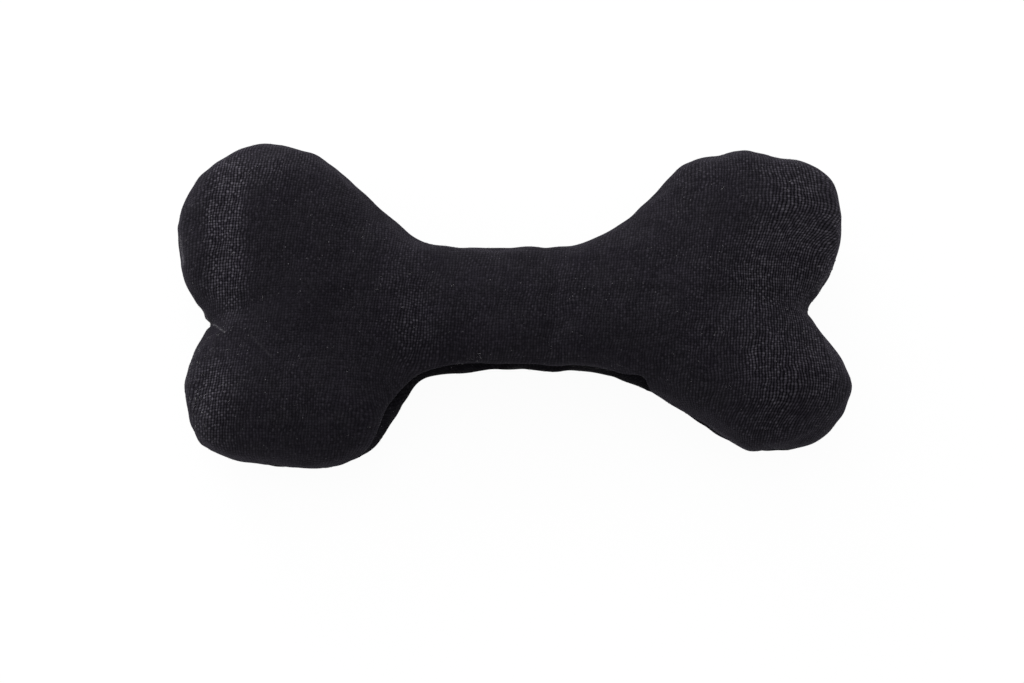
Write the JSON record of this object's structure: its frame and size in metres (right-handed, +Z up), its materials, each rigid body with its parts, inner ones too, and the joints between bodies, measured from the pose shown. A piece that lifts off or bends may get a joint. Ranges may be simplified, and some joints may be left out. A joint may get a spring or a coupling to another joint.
{
  "type": "plush bone dog toy",
  "caption": "Stuffed bone-shaped dog toy: two sewn woven panels packed with loose fibre round a small squeaker.",
  "frame": {"origin": "on the surface the toy rests on, below the middle of its length and width", "axes": "+X along the bone, towards the end with the squarer knuckles; +Y across it; +Z up, out of the front panel"},
  "size_m": [0.1797, 0.0874, 0.0405],
  "materials": {
    "black_cloth": "plain-weave cotton, matt",
    "stuffing": "loose polyester fibre",
    "squeaker_vinyl": "soft milky vinyl",
    "squeaker_plastic": "moulded white plastic",
    "reed_film": "thin clear film"
  },
  "bodies": {
    "root": {"front_cover": "black_cloth", "back_cover": "black_cloth", "upper_left_fill": "stuffing", "lower_left_fill": "stuffing", "shaft_left_fill": "stuffing", "shaft_right_fill": "stuffing", "upper_right_fill": "stuffing", "lower_right_fill": "stuffing", "squeaker_bulb": "squeaker_vinyl", "reed_holder": "squeaker_plastic", "squeaker_reed": "reed_film", "reed_clamp": "squeaker_plastic"}
  },
  "joints": []
}
